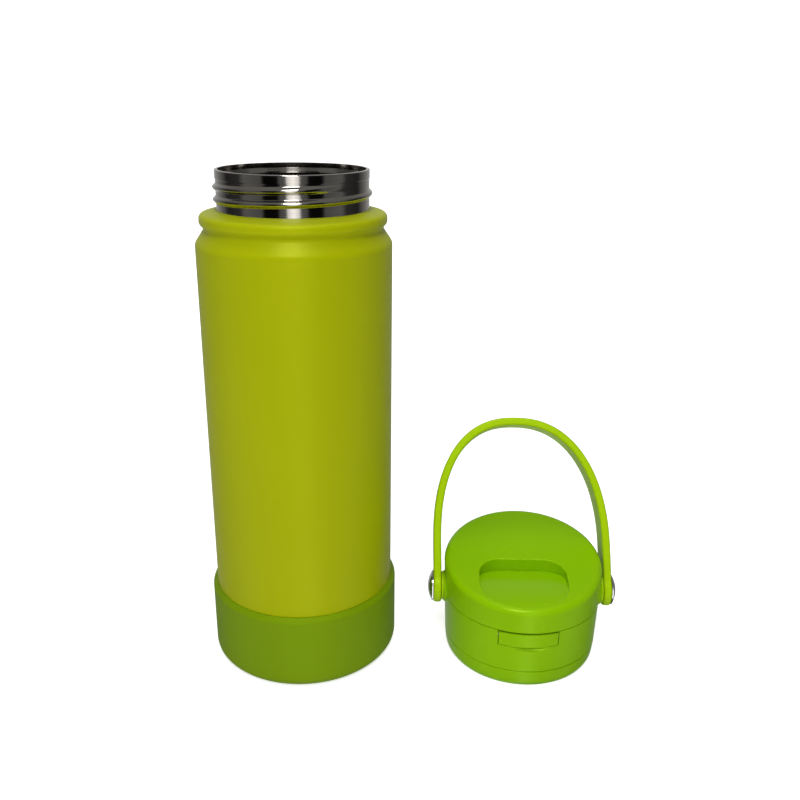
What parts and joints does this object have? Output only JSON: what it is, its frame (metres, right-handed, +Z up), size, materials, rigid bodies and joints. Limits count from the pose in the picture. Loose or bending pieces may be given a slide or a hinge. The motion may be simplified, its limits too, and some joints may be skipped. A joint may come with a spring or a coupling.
{
  "type": "vacuum flask",
  "caption": "Double-walled steel drinks flask with a threaded neck, silicone boot and a flip-top screw lid with a swinging strap handle, standing beside it.",
  "frame": {"origin": "centre of the boot's flat underside, on the surface the flask stands on", "axes": "+Z up along the flask's axis; the lid stands to the flask's +X side with its latch facing -Y and its hinge facing +Y"},
  "size_m": [0.1703, 0.0768, 0.1982],
  "materials": {
    "powder_coat": "satin powder coat",
    "polished_steel": "polished stainless steel",
    "brushed_steel": "brushed stainless steel",
    "solder_glass": "fired glass bead",
    "getter_alloy": "sintered",
    "boot_silicone": "matte silicone",
    "lid_plastic": "semi-gloss moulded plastic",
    "plug_plastic": "matte moulded plastic",
    "foam": "expanded foam",
    "seal_silicone": "translucent white silicone",
    "strap_plastic": "matte flexible plastic",
    "chrome": "polished chrome",
    "pin_steel": "drawn steel wire",
    "brass": "turned brass"
  },
  "bodies": {
    "flask": {"outer_shell": "powder_coat", "threaded_neck": "polished_steel", "inner_liner": "polished_steel", "base_cup": "brushed_steel", "base_disc": "brushed_steel", "port_seal": "solder_glass", "getter": "getter_alloy", "silicone_boot": "boot_silicone"},
    "lid": {"lid_body": "lid_plastic", "thread_insert": "lid_plastic", "plug_cup": "plug_plastic", "foam_core": "foam", "neck_seal": "seal_silicone", "spout": "lid_plastic", "hinge_pin": "pin_steel", "hinge_spring": "pin_steel", "latch_pin": "pin_steel", "latch_spring": "pin_steel", "screw_insert_left": "brass", "screw_insert_right": "brass"},
    "cover": {"flip_cover": "lid_plastic", "stopper": "seal_silicone"},
    "latch": {"latch_tab": "lid_plastic"},
    "pivots": {"strap_bush_left": "strap_plastic", "strap_bush_right": "strap_plastic", "pivot_screw_left": "chrome", "pivot_screw_right": "chrome"},
    "handle": {"strap_handle": "strap_plastic"}
  },
  "joints": [
    {"name": "lid_lift", "type": "slide", "parent": "flask", "child": "lid", "axis": [0, 0, 1], "range_m": [0, 0.21]},
    {"name": "cover_flip", "type": "hinge", "parent": "lid", "child": "cover", "pos_m": [0.09297, 0.02953, 0.0256], "axis": [-0.9997, 0.0227, 0], "range_deg": [0, 110]},
    {"name": "latch_pull", "type": "hinge", "parent": "lid", "child": "latch", "pos_m": [0.09155, -0.03285, 0.023], "axis": [-0.9997, 0.0227, 0], "range_deg": [0, 8], "stiffness_Nm_per_rad": 0.02, "springref_deg": -2.86},
    {"name": "handle_swing", "type": "hinge", "parent": "lid", "child": "pivots", "pos_m": [0.0922, -0.00436, 0.0268], "axis": [-0.9997, 0.0227, 0], "range_deg": [-118, 62]},
    {"name": "handle_pushed_back", "type": "hinge", "parent": "pivots", "child": "handle", "pos_m": [0.0922, -0.00436, 0.0268], "axis": [-0.9997, 0.0227, 0], "range_deg": [0, 80]}
  ],
  "couplings": [
    {"joint": "handle_pushed_back", "follows": "cover_flip", "ratio": 0.7}
  ]
}
